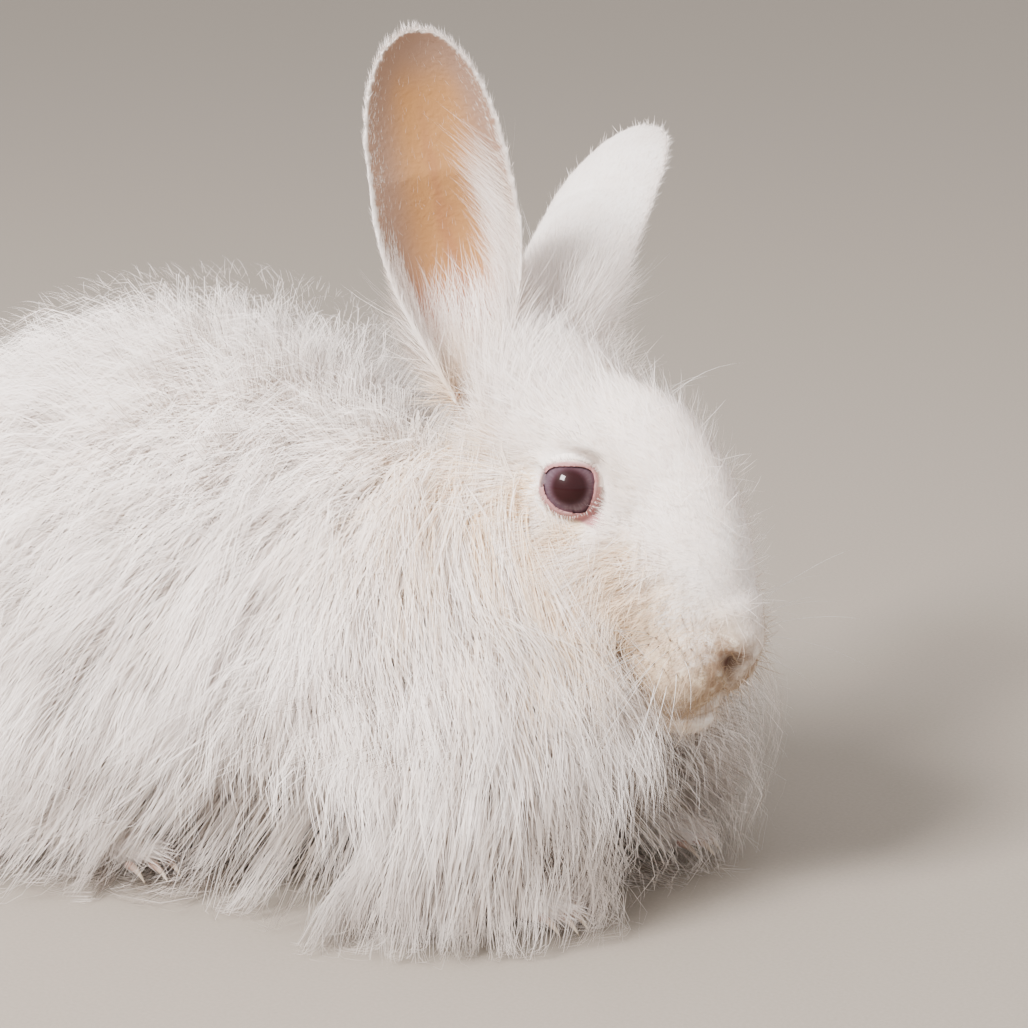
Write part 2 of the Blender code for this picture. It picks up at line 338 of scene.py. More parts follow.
def melted(name, shapes, voxel, rounds):      # shapes run together by a voxel remesh, then smoothed
    points, faces = joined(shapes)
    obj = meshObject(name, points, faces)
    melt = obj.modifiers.new("melt", "REMESH")
    melt.mode = "VOXEL"
    melt.voxel_size = voxel * mm
    soften = obj.modifiers.new("soften", "SMOOTH")
    soften.factor = 0.5
    soften.iterations = rounds
    return finished(obj)


def refined(mesh, chosen, cuts):      # the same mesh with finer faces where chosen
    shape = bmesh.new()
    shape.from_mesh(mesh)
    picked = [edge for edge in shape.edges if chosen[edge.verts[0].index] and chosen[edge.verts[1].index]]
    bmesh.ops.subdivide_edges(shape, edges=picked, cuts=cuts, use_grid_fill=True)
    bmesh.ops.triangulate(shape, faces=[face for face in shape.faces if len(face.verts) > 4])
    shape.to_mesh(mesh)
    shape.free()
    return mesh


def makeSkin():
    # head and ears melted finely, the body coarsely, and the two made one
    print("skin: head and ears")
    headShapes = [(fromSkull(points), faces) for points, faces in (egg(*mass) for mass in headMasses)]
    headMesh = melted("headFlesh", headShapes, 0.95, 10)
    withEars = melted("headWithEars", [(pointsOf(headMesh), [trianglesOf(headMesh)])]
                      + [earShell(ear) for ear in ears.values()], 0.95, 2)
    points = pointsOf(withEars)
    fine = np.linalg.norm(points - fromSkull(np.array([52.0, 0, -22])), axis=1) < 11.5
    for one in eyes.values():
        d, depth, r, angle = lidDistance(one, points)
        fine |= (r < 11.5) & (depth > 0)
    withEars = refined(withEars, fine, 2)
    points = sculptFace(pointsOf(withEars), normalsOf(withEars))
    withEars.vertices.foreach_set("co", (points * mm).astype(np.float32).ravel())
    print("skin: body")
    body = placed("bodyFlesh", melted("bodyFlesh", [egg(*mass) for mass in bodyMasses], 2.6, 14))
    head = placed("headFlesh", withEars)
    unite = head.modifiers.new("unite", "BOOLEAN")
    unite.operation = "UNION"
    unite.object = body
    mesh = finished(head)
    bpy.data.objects.remove(body, do_unlink=True)
    mesh.polygons.foreach_set("use_smooth", np.full(len(mesh.polygons), True))
    print("skin faces", len(mesh.polygons))
    return placed("skin", mesh)


def earPlace(points):         # t along, a across, how far to the inner side, and how far off the sheet
    best = None
    for ear in ears.values():
        q = points - ear["base"]
        t = (q @ ear["up"]) / ear["length"]
        held = np.clip(t, 0, 1)
        half, arc, radius = earArc(held)
        across = q @ ear["side"]
        behind = radius * np.cos(arc) - q @ ear["out"] - earSkin["bow"] * np.sin(math.pi * held)
        r = np.hypot(across, behind)
        off = np.abs(r - radius) + 60 * np.abs(t - held)
        found = np.stack([t, np.arctan2(across, behind) / arc, radius - r, off], -1)
        best = found if best is None else np.where(found[:, 3:] < best[:, 3:], found, best)
    return best.T


def onEar(points):            # 1 on the free part of an ear
    t, a, inward, off = earPlace(points)
    return smooth(0.05, 0.12, t) * (off < 4.5)


def ruffSide(p):
    # mm past the line where short fur turns long: below it from the ear's root to the fold of the cheek,
    # and behind it from there down the jaw
    below = (p[..., 0] - 87) * -0.548 + (p[..., 2] - 135) * -0.837
    behind = (p[..., 0] - 137) * -0.965 + (p[..., 2] - 99) * 0.262
    return np.minimum(below, behind)


# whiskers grow from the pads in rows; follicles are their roots, forward and up in skull axes
whiskers = {"rows": 4, "each": 6, "length": (34, 58), "radius": 0.085, "brows": 5, "levels": 12, "browLevels": 9,
            "frontMost": 179}
whiskerRow = np.repeat(np.arange(whiskers["rows"]), whiskers["each"])
whiskerSpot = np.tile(np.arange(whiskers["each"]), whiskers["rows"])
follicles = np.stack([49 - 3.1 * whiskerSpot, -20.5 - 3.4 * whiskerRow - 0.9 * whiskerSpot], -1)

# how strong each marking is, painted shades among them
marks = {"ruff": 1.1, "ruffBase": 0.15, "chest": 0.8, "pads": 0.85, "fold": 0.40, "brow": 0.22,
         "nostril": 1.4, "chin": 0.5, "lips": 0.5, "padStain": 0.27, "foldShade": 0.30, "follicles": 0.55,
         "earFootShade": 0.26}


def markings(points):
    # cream, and stain with painted shade, from 0 to 1, as sums of soft spots and bands: cream in streaks below the
    # ruff's line, on the pads and over the eye; stain with painted shade round the nostrils and on the lips; painted
    # shade in the fold of the cheek and at the ears' feet; stain on the pads and at the whiskers' roots
    s = toSkull(points)
    x, y, z = s[:, 0], np.abs(s[:, 1]), s[:, 2]
    line = ruffSide(points)
    front, height = points[:, 0], points[:, 2]
    streak = 0.5 + 0.5 * np.sin(0.42 * front + 0.9 * np.sin(0.11 * height + 0.2 * points[:, 1]))
    ruff = smooth(-10, 6, line) * (1 - smooth(25, 60, line)) * smooth(35, 75, front)
    cream = ruff * (marks["ruffBase"] + marks["ruff"] * streak ** 2)
    cream = cream * smooth(52, 92, height)
    cream = cream + marks["chest"] * streak * bell(line - 12, 15) * smooth(88, 108, front) * smooth(55, 80, height)
    pads = (1 - smooth(-19, -2, z)) * smooth(-54, -44, z) * smooth(22, 36, x)
    cream = cream + marks["pads"] * pads * (0.35 + 0.65 * smooth(3, 8, y))
    cream = cream + marks["fold"] * bell(z + 14, 5) * bell(x - 28, 10)
    cream = cream + marks["brow"] * bell(z - 8, 5) * bell(x - 8, 9)
    nostril = np.sqrt((x - 57) ** 2 + (y - 7.0) ** 2 + (z + 21) ** 2)
    chin = bell(z + 33, 5.5) * smooth(46, 54, x)
    lips = bell(height - mouthHeight(front) - 1.5, 2.6) * smooth(138, 148, front)
    # brown round the nostrils: stain with painted shade; the chin mark: a grey upper lip under the nose with painted
    # shade of its front; lips: painted shade along the mouth's line
    stainAndPaintedShade = marks["nostril"] * bell(nostril, 8.2) + marks["chin"] * chin + marks["lips"] * lips
    stainAndPaintedShade = stainAndPaintedShade + marks["padStain"] * pads * smooth(4, 9, y)
    # painted shade: a darker line along the crease of the cheek's fold
    fold = bell(z + 14 - 0.5 * (x - 26), 2.2) * bell(x - 26, 7)
    stainAndPaintedShade = stainAndPaintedShade + marks["foldShade"] * fold * smooth(8, 12, y)
    spots = np.linalg.norm(np.stack([x, z], -1)[:, None] - follicles, axis=-1).min(1)
    stainAndPaintedShade = stainAndPaintedShade + marks["follicles"] * bell(spots, 0.9) * (y > 6)
    # painted shade round the foot of each ear
    for ear in ears.values():
        foot = ear["base"] + ear["up"] * 8 + ear["out"] * 7
        stainAndPaintedShade = stainAndPaintedShade + marks["earFootShade"] * bell(np.linalg.norm(points - foot, axis=1), 10)
    return np.clip(cream, 0, 1), np.clip(stainAndPaintedShade, 0, 1)


class Wire:
    # a socket of a shader tree; an operator on it adds a Math node
    def __init__(self, finish, socket):
        self.finish, self.socket = finish, socket

    def does(self, operation, *others):
        return self.finish.add("ShaderNodeMath", {"operation": operation}, [self, *others])

    def __add__(self, other):
        return self.does("ADD", other)

    def __sub__(self, other):
        return self.does("SUBTRACT", other)

    def __mul__(self, other):
        return self.does("MULTIPLY", other)

    __radd__ = __add__
    __rmul__ = __mul__

    def __rsub__(self, other):
        return self.finish.add("ShaderNodeMath", {"operation": "SUBTRACT"}, [other, self])

    def step(self, low, high):          # 0 at low, 1 at high, an S between
        return self.finish.add("ShaderNodeMapRange", {"interpolation_type": "SMOOTHSTEP"},
                               {"Value": self, "From Min": low, "From Max": high})


class Finish:
    # a material built round one Principled shader, with its constant values set on the shader itself
    def __init__(self, name, constants):
        self.material = bpy.data.materials.new(name)
        self.material.use_nodes = True
        self.tree = self.material.node_tree
        self.surface = self.tree.nodes["Principled BSDF"]
        for socket, value in constants.items():
            self.surface.inputs[socket].default_value = value

    def add(self, kind, settings, values, output=0):
        node = self.tree.nodes.new(kind)
        for name, value in settings.items():
            setattr(node, name, value)
        pairs = values.items() if isinstance(values, dict) else enumerate(values)
        for key, value in pairs:
            self.put(node.inputs[key], value)
        return Wire(self, node.outputs[output])

    def put(self, socket, value):
        if isinstance(value, Wire):
            self.tree.links.new(value.socket, socket)
        else:
            socket.default_value = value

    def feed(self, socket, value):
        self.put(self.surface.inputs[socket], value)

    def place(self):
        return self.add("ShaderNodeTexCoord", {}, {}, "Object")

    def read(self, attribute):
        return self.add("ShaderNodeAttribute", {"attribute_name": attribute}, {}, "Fac")

    def noise(self, scale, detail=3, where=None):
        return self.add("ShaderNodeTexNoise", {}, {"Vector": where or self.place(), "Scale": scale,
                                                   "Detail": detail}, "Fac")

    def mix(self, factor, first, second):       # two colours, the second where the factor is 1
        pairs = {0: factor, 6: first, 7: second}
        pairs = {key: (*value, 1) if isinstance(value, tuple) else value for key, value in pairs.items()}
        return self.add("ShaderNodeMix", {"data_type": "RGBA"}, pairs, 2)

    def bump(self, height, strength, distance):
        self.feed("Normal", self.add("ShaderNodeBump", {}, {"Strength": strength, "Distance": distance,
                                                            "Height": height}))


def giveAttributes(obj, values):      # a number for each point, under each name
    for name, value in values.items():
        layer = obj.data.attributes.new(name, "FLOAT", "POINT")
        layer.data.foreach_set("value", np.asarray(value, np.float32))


# the skin
# the near-black colour is painted shade for the nostrils' hollows; the stain colour serves real stains and painted
# shade alike
skinLooks = {"fur": (0.90, 0.85, 0.81), "furShade": (0.82, 0.75, 0.70), "earTan": (0.44, 0.22, 0.08),
             "earPale": (0.32, 0.20, 0.14), "earRed": (0.34, 0.075, 0.025), "vein": (0.30, 0.11, 0.06),
             "lid": (0.38, 0.18, 0.18), "nostrilShade": (0.09, 0.04, 0.028), "cream": (0.76, 0.62, 0.42),
             "stainAndPaintedShade": (0.36, 0.24, 0.16)}


def skinFinish():
    # white down mottled by noise, marks by attribute, painted shade among them, and in the ears tan paling
    # to the edge with a vein along them
    finish = Finish("rabbit_skin", {"Roughness": 0.62, "Specular IOR Level": 0.3})
    mottle = finish.noise(60)
    colour = finish.mix(mottle.step(0.4, 0.7), skinLooks["fur"], skinLooks["furShade"])
    colour = finish.mix(finish.read("cream") * mottle.step(0.3, 0.6), colour, skinLooks["cream"])
    # stain, with painted shade round the nostrils, on the lips, in the cheek's fold and at the ears' feet
    colour = finish.mix(finish.read("stainAndPaintedShade") * finish.noise(300).step(0.25, 0.6), colour, skinLooks["stainAndPaintedShade"])
    along, across = finish.read("earAlong"), finish.read("earAcross")
    wander = finish.noise(45, 2) - 0.5
    edge = across.does("ABSOLUTE").step(0.25, 0.75)
    inner = finish.mix(edge + along.step(0.80, 0.96) * (1 - edge), skinLooks["earTan"], skinLooks["earPale"])
    inner = finish.mix(along.step(0.36, 0.12), inner, skinLooks["earRed"])
    line = (across + wander * 0.9 + 0.06).does("ABSOLUTE")
    inner = finish.mix(line.step(0.16, 0.0) * along.step(0.95, 0.5) * 0.40, inner, skinLooks["vein"])
    colour = finish.mix(finish.read("earInner"), colour, inner)
    colour = finish.mix(finish.read("lid") * (0.75 + 0.5 * finish.noise(500)), colour, skinLooks["lid"])
    # painted shade: near black in the nostrils' hollows
    colour = finish.mix(finish.read("nostrilShade"), colour, skinLooks["nostrilShade"])
    finish.feed("Base Color", colour)
    finish.bump(finish.noise(700, 4) + 0.5 * finish.noise(220, 2), 0.35, 0.0006)
    return finish.material


def markSkin(skin):           # attributes for the skin's finish, from the places of ears, lids and nostrils
    points = pointsOf(skin.data)
    t, a, inward, off = earPlace(points)
    within = smooth(0.0, 0.6, inward)
    inner = within * (1 - smooth(0.80, 0.98, np.abs(a))) * onEar(points) * (1 - smooth(0.93, 0.98, t))
    low = within * (off < 5) * (t > -0.02) * (np.abs(a) < 0.9)
    cream, stainAndPaintedShade = markings(points)
    lid = 1 - smooth(-0.3, 1.3, eyeGap(points))
    s = toSkull(points)
    # painted shade for the hollow of each nostril
    nostrilShade = bell(np.hypot(s[:, 1] - 6.0 * np.sign(s[:, 1]), s[:, 2] + 21), 4.0) * smooth(44, 48, s[:, 0])
    giveAttributes(skin, {"nostrilShade": nostrilShade, "earInner": np.maximum(inner, low), "earAlong": t, "earAcross": a,
                          "cream": cream, "stainAndPaintedShade": stainAndPaintedShade, "lid": lid})
    skin.data.materials.clear()
    skin.data.materials.append(skinFinish())


skin = makeSkin()
markSkin(skin)
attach(skin, "root")
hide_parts(*furNodes, *earNodes)

# the eyeballs: rings about the line of sight, with a low cornea in front
iris = {"pupil": 4.4, "edge": 7.9, "cornea": 0.5, "rings": 80, "spokes": 72,
        "pupilColour": (0.018, 0.003, 0.004), "inner": (0.042, 0.016, 0.022), "outer": (0.088, 0.054, 0.070),
        "pale": (0.125, 0.085, 0.105), "white": (0.42, 0.26, 0.25)}


def eyeFinish():              # dark pupil, iris with paler spokes and white beyond, by the distance from the middle
    finish = Finish("rabbit_eye", {"Roughness": 0.4, "Specular IOR Level": 0.05, "Coat Weight": 0.6,
                                   "Coat Roughness": 0.03, "Coat IOR": 1.38})
    out = finish.read("fromPupil")
    spokes = [finish.read("spokeX") * 9, finish.read("spokeY") * 9, out * 0.35]
    spot = finish.add("ShaderNodeCombineXYZ", {}, spokes)
    streak = finish.noise(1.0, 4, spot)
    ring = finish.mix(out.step(iris["pupil"] - 0.2, iris["pupil"] + 2.2), iris["inner"], iris["outer"])
    ring = finish.mix(streak.step(0.4, 0.7) * out.step(iris["pupil"], iris["pupil"] + 2.4) * 0.7, ring, iris["pale"])
    colour = finish.mix(out.step(iris["pupil"] + 0.8, iris["pupil"] - 0.8), ring, iris["pupilColour"])
    colour = finish.mix(out.step(iris["edge"], iris["edge"] + 0.8), colour, iris["white"])
    finish.feed("Base Color", colour)
    return finish.material


eyeMaterial = eyeFinish()
for sideName, one in eyes.items():
    theta = math.pi - np.linspace(0, math.pi, iris["rings"] + 2)[1:-1, None]
    phi = np.linspace(0, 2 * math.pi, iris["spokes"], endpoint=False)[None, :]
    out = eye["radius"] * np.sin(theta) + 0 * phi
    reach = eye["radius"] + iris["cornea"] * bell(out, 5.0) * (np.cos(theta) > 0)
    second = np.cross(one["look"], one["forward"])
    ringPoints = (one["centre"] + one["look"] * (np.cos(theta) * reach)[..., None]
                  + one["forward"] * (np.sin(theta) * np.cos(phi) * reach)[..., None]
                  + second * (np.sin(theta) * np.sin(phi) * reach)[..., None])
    points, faces = closedRings(ringPoints)
    ball = meshObject("eyeball_" + sideName, points, faces)
    fromPupil = np.where(np.cos(theta) > 0, out, 20.0)
    giveAttributes(ball, {"fromPupil": np.append(fromPupil.ravel(), [20.0, 0.0]),
                          "spokeX": np.append((np.cos(phi) + 0 * theta).ravel(), [0, 0]),
                          "spokeY": np.append((np.sin(phi) + 0 * theta).ravel(), [0, 0])})
    ball.data.materials.append(eyeMaterial)
    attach(ball, "root")
    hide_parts("eye_" + sideName)
print("eyes done")

# the coat
# the deep colour is painted shade towards the hairs' roots, and tints random patches too
wool = {"white": (0.96, 0.895, 0.86), "deep": (0.92, 0.82, 0.735), "cream": (0.76, 0.52, 0.26),
        "stainAndPaintedShade": (0.25, 0.145, 0.065), "patch": 0.003}


def woolFinish():             # painted shade at the root, white at the tip; cream, stain and painted shade of the root
    finish = Finish("angora_wool", {"Roughness": 0.6, "Specular IOR Level": 0.0})
    along = finish.read("along")
    # painted shade: darker beige towards each hair's root, deep in the coat
    colour = finish.mix(along.step(0.0, 0.55), wool["deep"], wool["white"])
    colour = finish.mix(finish.noise(45).step(0.45, 0.75) * 0.25, colour, wool["deep"])
    # the cream stronger towards the root: painted shade between the locks over the coat's own cream
    colour = finish.mix(finish.read("cream") * (1 - along * 0.45), colour, wool["cream"])
    # stain, with painted shade round the nostrils, on the lips, in the cheek's fold and at the ears' feet, carried
    # from each root
    colour = finish.mix(finish.read("stainAndPaintedShade") * 0.85, colour, wool["stainAndPaintedShade"])
    finish.feed("Base Color", colour)
    return finish.material


woolMaterial = woolFinish()
skinPoints = pointsOf(skin.data)
skinTriangles = trianglesOf(skin.data)
skinNormals = normalsOf(skin.data)
print("skin triangles", len(skinTriangles))


def coatOutline():            # the solids of flesh and coat melted into one, run on down through the floor
    shapes = []
    for name in furNodes:
        mesh = bpy.data.objects[name].data
        points = pointsOf(mesh)
        points[:, 2] = np.where(points[:, 2] < 8, points[:, 2] - 70, points[:, 2])
        shapes.append((points, [trianglesOf(mesh)]))
    return placed("coatOutline", melted("coatOutline", shapes, 3.0, 4))


outline = coatOutline()


def nearest(points, inside=False):
    # the nearest place on the coat's outline, or, with inside, only for a point outside it
    cloud = meshObject("cloud", points, [])
    wrap = cloud.modifiers.new("wrap", "SHRINKWRAP")
    wrap.target = outline
    wrap.wrap_method = "NEAREST_SURFACEPOINT"
    wrap.wrap_mode = "INSIDE" if inside else "ON_SURFACE"
    mesh = finished(cloud)
    result = pointsOf(mesh)
    bpy.data.meshes.remove(mesh)
    return result


def scatter(count, weight):   # places spread over the skin by area times weight, with their normals
    corners = skinPoints[skinTriangles]
    area = np.linalg.norm(np.cross(corners[:, 1] - corners[:, 0], corners[:, 2] - corners[:, 0]), axis=1) / 2
    share = np.cumsum(area * weight(corners.mean(1), unit(skinNormals[skinTriangles].mean(1))))
    pick = np.searchsorted(share, (np.arange(count) + rng.random(count)) / count * share[-1])
    pick = np.minimum(pick, len(skinTriangles) - 1)
    a, b = rng.random(count), rng.random(count)
    over = a + b > 1
    a, b = np.where(over, 1 - a, a), np.where(over, 1 - b, b)
    mix = np.stack([1 - a - b, a, b], -1)[..., None]
    return (corners[pick] * mix).sum(1), unit((skinNormals[skinTriangles[pick]] * mix).sum(1))


def flat(v, n, share=1.0):    # the vector with that share of its part along the normal taken out, made one long
    return unit(v - n * (v * n).sum(-1, keepdims=True) * share)


def skinMap(points):
    # unwrap of the skin: body and head as tubes slit below, by length and angle, each ear as a sheet, all in tiles
    body = np.stack([(points[:, 0] + 180) / 360, np.arctan2(points[:, 1], points[:, 2] - 60) / 6.4 + 0.5], -1)
    s = toSkull(points)
    head = np.stack([(s[:, 0] + 65) / 140, np.arctan2(s[:, 1], s[:, 2] + 15) / 6.4 + 0.5], -1)
    t, a, inward, off = earPlace(points)
    tile = 2.0 * (inward > 0) + (points[:, 1] > 0)
    sheet = np.stack([(tile + np.clip(t, 0, 1) * 0.96 + 0.02) / 4, np.clip(a, -1.2, 1.2) / 2.5 + 0.5], -1)
    inEar = onEar(points)[:, None] > 0
    head = np.where(inEar, sheet * (0.98, 0.16) + (0.01, 0.83), head * (0.98, 0.30) + (0.01, 0.51))
    inHead = (ruffSide(points) < 0)[:, None] | inEar
    return np.clip(np.where(inHead, head, body * (0.98, 0.48) + (0.01, 0.01)), 0.002, 0.998)


def taper(levels):            # full at the root, nothing at the tip, most of the narrowing near the tip
    return (1 - np.linspace(0, 1, levels) ** 2.4)[None]


def strandMesh(name, path, width, facing, cream, stainAndPaintedShade, twist=0.45):
    # ribbons carried along their paths, tapering to a point, their faces to the outside give or take a twist
    count, levels = path.shape[:2]
    ahead = unit(np.gradient(path, axis=1))
    across = unit(np.cross(ahead, facing))
    turn = rng.normal(0, twist, count)[:, None, None]
    across = across * np.cos(turn) + np.cross(ahead, across) * np.sin(turn)
    half = across * width[..., None] / 2
    pairs = np.stack([path[:, :-1] - half[:, :-1], path[:, :-1] + half[:, :-1]], 2).reshape(count, -1, 3)
    points = np.concatenate([pairs, path[:, -1:]], 1)
    per = 2 * levels - 1
    start = (np.arange(count) * per)[:, None]
    k = 2 * np.arange(levels - 2)[None, :]
    quads = np.stack([start + k, start + k + 1, start + k + 3, start + k + 2], -1).reshape(-1, 4)
    tips = np.stack([start + per - 3, start + per - 2, start + per - 1], -1).reshape(-1, 3)
    obj = meshObject(name, points.reshape(-1, 3), [quads, tips] if levels > 2 else [tips])
    along = np.append(np.repeat(np.linspace(0, 1, levels)[:-1], 2), 1.0)
    giveAttributes(obj, {"along": np.tile(along, count), "cream": np.repeat(cream, per),
                         "stainAndPaintedShade": np.repeat(stainAndPaintedShade, per)})
    tilt = unit(facing + across * rng.normal(0, 0.10, count)[:, None, None])
    soft = np.concatenate([np.repeat(tilt[:, :-1], 2, axis=1), tilt[:, -1:]], 1).reshape(-1, 3)
    obj.data.normals_split_custom_set_from_vertices(soft.tolist())
    place = skinMap(path[:, 0])[:, None] + wool["patch"] * np.stack(
        [np.append(np.tile([-0.5, 0.5], levels - 1), 0.0), along - 0.5], -1)[None]
    corner = np.empty(len(obj.data.loops), np.int32)
    obj.data.loops.foreach_get("vertex_index", corner)
    layer = obj.data.uv_layers.new(name="OFBake")
    layer.data.foreach_set("uv", place.reshape(-1, 2)[corner].astype(np.float32).ravel())
    print(name, 2 * len(quads) + len(tips), "triangles")
    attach(obj, "root")
    obj.data.materials.append(woolMaterial)
    return obj


def coatFacing(path, outward):      # halfway between the root's own way out and the way out of a long round body
    core = np.stack([np.clip(path[..., 0], -80, 90), 0 * path[..., 1], 58 + 0 * path[..., 2]], -1)
    return unit(unit(path - core) + outward[:, None, :])


tailRoot = np.array([-146, 0, 66])


def tailward(p, reach):       # 1 at the tail, fading over that reach
    return bell(np.linalg.norm(p - tailRoot, axis=1), reach)


def bodyLie(p, n):
    # the long coat falls back over the flank, straight down by the shoulder and forward at the chest: a slope in x
    # that rises with x, flattened onto the skin; the tail's hair turns up
    back = -0.55 + 0.50 * smooth(0, 90, p[:, 0]) + 0.35 * smooth(125, 155, p[:, 0])
    back = back + 0.45 * smooth(40, 75, p[:, 0]) * (1 - smooth(112, 130, p[:, 0])) * smooth(35, 65, p[:, 2])
    lie = np.stack([back, 0.30 * np.tanh(p[:, 1] / 25), -1 + 0 * back], -1)
    return flat(lie + tailward(p, 20)[:, None] * np.array([-1.6, 0, 3.0]), n, 0.9)


def locks(roots, normals, lie, length, strands, spread, levels=5, hold=(0.45, 1.0), clump=0.5, wave=1.2, bend=0.06,
          wander=0.2, proud=(-2.5, 0)):
    # a guide rises out of the skin towards the coat's outline and bends over into the lie, sagging a little;
    # the strands start round it and close in on it towards the tip by the share called clump
    count = len(roots)
    limit = nearest(roots)
    depth = np.linalg.norm(limit - roots, axis=1)
    outward = unit(unit(limit - roots) * 0.6 + normals * 0.4)
    s = np.linspace(0, 1, levels)
    reach = hold[0] + (hold[1] - hold[0]) * rng.random(count) ** 0.6
    rise = np.sin(math.pi / 2 * np.minimum(1, s / 0.6))[None] * (depth * reach)[:, None]
    lie = unit(lie + flat(rng.normal(0, 1, (count, 3)), normals) * np.reshape(wander, (-1, 1)))
    run = s[None] ** 1.5 * length[:, None]
    path = roots[:, None] + outward[:, None] * rise[..., None] + lie[:, None] * run[..., None]
    path[..., 2] -= 0.12 * length[:, None] * s[None] ** 3
    path += (rng.normal(0, 1, (count, 3)) * (bend * length)[:, None])[:, None] * (s[None, :, None] ** 2)
    points = path.reshape(-1, 3)
    held = nearest(points, inside=True)
    over = np.linalg.norm(points - held, axis=1, keepdims=True)
    most = np.repeat(rng.uniform(*proud, count), levels)[:, None]      # how far past the outline a hair may go
    path = np.where(over > 1e-4, held + unit(points - held) * np.minimum(over, most), points)
    path = path.reshape(count, levels, 3)
    around = flat(rng.normal(0, 1, (count, strands, 3)), normals[:, None]) * spread
    around *= np.sqrt(rng.random((count, strands, 1))) * 1.6
    short = 1 - 0.45 * rng.random((count, strands, 1, 1)) ** 2
    hair = roots[:, None, None] + (path - roots[:, None])[:, None] * short
    close = 1 - np.reshape(clump, (-1, 1, 1, 1)) * (s ** 1.5)[None, None, :, None]
    hair = hair + around[:, :, None] * close
    phase = rng.random((count, strands, 1)) * 2 * math.pi
    ripple = np.sin(1.4 * math.pi * s[None, None] + phase) * s[None, None] * wave
    hair = hair + unit(around)[:, :, None] * ripple[..., None]
    floor = 0.5 + 2.0 * rng.random((count, strands, 1))
    hair[..., 2] = np.maximum(hair[..., 2], floor)
    hair = hair.reshape(-1, levels, 3)
    return hair, coatFacing(hair, np.repeat(outward, strands, 0)), np.repeat(reach, strands)


longCoat = {"locks": 7000, "strands": 10, "levels": 6, "spread": 3.0, "width": 0.185, "length": 42.0, "wave": 1.7,
            "under": 30000, "underLevels": 4, "underWidth": 0.75, "fuzz": 5000, "fuzzWidth": 0.07, "fuzzLength": 8.0}


def longWeight(p, n):         # behind the ruff's line, made ragged by two sines, thinning under the belly
    line = ruffSide(p) + 3 * np.sin(0.5 * p[:, 2] + 0.8 * p[:, 1]) + 2 * np.sin(1.3 * p[:, 2] - 0.9 * p[:, 0])
    head = 0.2 * smooth(-6, 0, line) + 0.8 * smooth(-2, 10, line)
    return head * (onEar(p) < 0.5) * smooth(11, 18, p[:, 2]) * (0.25 + 0.75 * smooth(-0.8, 0.0, n[:, 2]))


def longLength(roots, normals):
    # shorter on top, at the ruff's line and at the tail, some locks short at random, none past its place by the floor
    length = longCoat["length"] * (1 - 0.22 * smooth(0.4, 1.0, normals[:, 2]))
    line = ruffSide(roots)
    for ear in ears.values():
        line = line + 12 * bell(np.linalg.norm(roots - ear["base"], axis=1), 18)
    length = length * (0.22 + 0.78 * smooth(-7, 9, line)) * np.where(rng.random(len(roots)) < 0.45, 0.68, 1.0)
    length = length * (1 - 0.5 * tailward(roots, 18))
    tip = 1 + 16 * rng.random(len(roots)) ** 1.6          # height that the lowest hair ends at
    return np.clip((roots[:, 2] - tip) / 0.8 + 5, 9, length * (0.85 + 0.3 * rng.random(len(roots))))


def coatPart(p):              # which piece of the coat a root belongs to
    zone = np.searchsorted([-70, 10, 88], p[:, 0])
    names = [part + sideName for sideName in ("_right", "_left") for part in ("rump", "flank", "ruff")]
    names = np.array(names[:3] + ["chest"] + names[3:] + ["chest"])
    return names[zone + 4 * (p[:, 1] > 0)]


def longPieces():
    each, levels = longCoat["strands"], longCoat["levels"]
    roots, normals = scatter(longCoat["locks"], longWeight)
    top = smooth(0.2, 0.9, normals[:, 2])
    low = 1 - smooth(20, 60, roots[:, 2])
    lie = bodyLie(roots, normals) + 0.22 * swirl(roots, 45)
    length = longLength(roots, normals)
    hair, facing, reach = locks(roots, normals, lie, length, each, longCoat["spread"], levels=levels,
                                wave=longCoat["wave"], clump=0.20 + 0.40 * low - 0.1 * top, wander=0.18 + 0.40 * top)
    facing = unit(facing + 0.28 * swirl(hair, 30))
    cream, stainAndPaintedShade = markings(roots)
    tint = np.clip(0.15 + 0.5 * rng.random(len(roots)) ** 2, 0, 1)      # some locks hold more colour than others
    # locks that lie deeper hold more cream: painted shade between the locks, over the coat's own cream
    cream = np.repeat(cream * (0.5 + 1.1 * tint), each) * np.clip(1.35 - 0.7 * reach, 0.1, 1)
    cream = cream + np.repeat(tint, each) * 0.12
    stainAndPaintedShade = np.repeat(stainAndPaintedShade, each)
    width = taper(levels) * longCoat["width"] * (0.7 + 0.6 * rng.random((len(hair), 1)))
    parts = np.repeat(coatPart(roots), each)
    for part in np.unique(parts):
        pick = parts == part
        strandMesh("coat_" + str(part), hair[pick], width[pick], facing[pick], cream[pick], stainAndPaintedShade[pick])


def underPiece():             # broad short hairs that fill the coat beneath its locks
    levels = longCoat["underLevels"]
    roots, normals = scatter(longCoat["under"], lambda p, n: longWeight(p, n) * smooth(3, 12, ruffSide(p)))
    length = 0.8 * longLength(roots, normals)
    hair, facing, reach = locks(roots, normals, bodyLie(roots, normals), length, 1, 0.5, levels=levels,
                                hold=(0.20, 0.62), clump=0.0)
    cream, stainAndPaintedShade = markings(roots)
    # a beige lift on all the under hairs: painted shade beneath the locks
    cream = 0.12 + 0.9 * cream
    width = taper(levels) * longCoat["underWidth"] * (0.7 + 0.6 * rng.random((len(hair), 1)))
    for name, pick in (("underwool_right", roots[:, 1] < 0), ("underwool_left", roots[:, 1] >= 0)):
        strandMesh(name, hair[pick], width[pick], facing[pick], cream[pick], stainAndPaintedShade[pick], twist=0.15)


